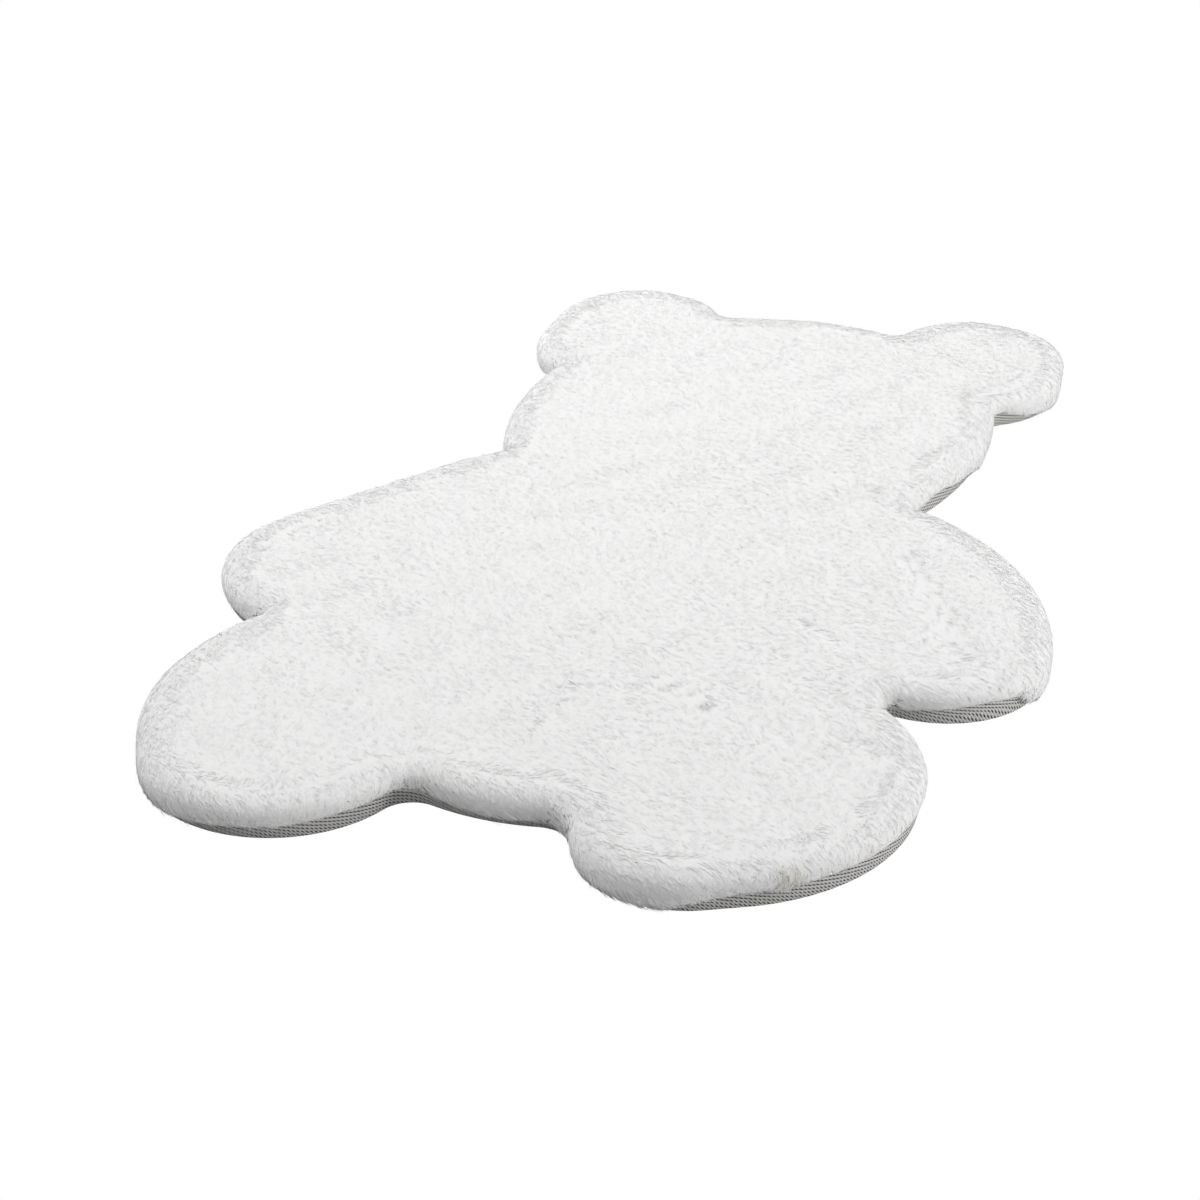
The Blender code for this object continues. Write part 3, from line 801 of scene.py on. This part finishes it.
from_top[-len(BACK):] = 1
height = profile[:, 1:] + from_top[:, None] * tape_height(tape_stops)
plan = tape_edge[None] + tape_outward[None] * profile[:, :1, None]
tape_points = np.concatenate((plan, height[..., None]), axis=2)
grid = np.arange(len(profile) * TAPE_COLUMNS).reshape(len(profile), TAPE_COLUMNS)
below, after = np.roll(grid, -1, axis=0), np.roll(grid, -1, axis=1)
tape_quads = np.stack((grid, after, np.roll(after, -1, axis=0), below), axis=-1).reshape(-1, 4)

tape_finish, tree, shader = cloth_finish("twill_tape_herringbone", TAPE_THREAD, 0.85)
shader.inputs["Specular IOR Level"].default_value = 0.2
tape = add_piece("tape", tape_points.reshape(-1, 3), tape_quads, tape_finish, "twill_tape")
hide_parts("binding_tape")

middle = np.column_stack((profile[:, 0], height.mean(axis=1)))
widths = np.concatenate(((0.0,), np.cumsum(np.hypot(*np.diff(np.vstack((middle, middle[:1])), axis=0).T))))
length_over = np.append(tape_stops[1:], 2 * tape_stops[-1] - tape_stops[-2])
corner_u = np.stack((tape_stops, length_over, length_over, tape_stops), axis=-1)
corner_v = np.stack((widths[:-1], widths[:-1], widths[1:], widths[1:]), axis=-1)
weave_map = np.stack((np.broadcast_to(corner_u[None], (len(profile), TAPE_COLUMNS, 4)),
                      np.broadcast_to(corner_v[:, None], (len(profile), TAPE_COLUMNS, 4))), axis=-1)
layer = tape.data.uv_layers.new(name="weave")
layer.uv.foreach_set("vector", weave_map.astype(np.float32).ravel())

spot = node(tree, "ShaderNodeUVMap", uv_map="weave")
parts = node(tree, "ShaderNodeSeparateXYZ")
link(tree, spot.outputs["UV"], parts.inputs[0])
ribs = []
for slope, pitch in TAPE_RIBS:
    slant = node(tree, "ShaderNodeMath", operation="MULTIPLY_ADD")
    slant.inputs[1].default_value = slope
    rib = node(tree, "ShaderNodeMath", operation="MULTIPLY")
    rib.inputs[1].default_value = 2 * math.pi / pitch
    ribs.append(node(tree, "ShaderNodeMath", operation="SINE"))
    link(tree, parts.outputs["X"], slant.inputs[0])
    link(tree, parts.outputs["Y"], slant.inputs[2])
    link(tree, slant.outputs[0], rib.inputs[0])
    link(tree, rib.outputs[0], ribs[-1].inputs[0])
band = node(tree, "ShaderNodeMapRange", interpolation_type="SMOOTHSTEP",
            From_Min=0.0050, From_Max=0.0075, To_Min=0.30, To_Max=0.55)
relief = node(tree, "ShaderNodeMixRGB", blend_type="MIX")
tone = node(tree, "ShaderNodeMapRange", interpolation_type="SMOOTHSTEP", From_Min=-0.85, From_Max=0.05)
# the weave's colour mixes the thread with the painted shade of the grooves between the ribs
woven = node(tree, "ShaderNodeMixRGB", blend_type="MIX", Color1=(*TAPE_RIB_SHADE, 1.0), Color2=(*TAPE_THREAD, 1.0))
weave_bump = node(tree, "ShaderNodeBump", Strength=0.6, Distance=0.0005)
link(tree, parts.outputs["Y"], band.inputs["Value"])
link(tree, band.outputs["Result"], relief.inputs["Fac"])
link(tree, ribs[0].outputs[0], relief.inputs["Color1"])
link(tree, ribs[1].outputs[0], relief.inputs["Color2"])
link(tree, relief.outputs["Color"], tone.inputs["Value"])
link(tree, tone.outputs["Result"], woven.inputs["Fac"])
link(tree, woven.outputs["Color"], shader.inputs["Base Color"])
link(tree, relief.outputs["Color"], weave_bump.inputs["Height"])
link(tree, weave_bump.outputs["Normal"], shader.inputs["Normal"])

low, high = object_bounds()
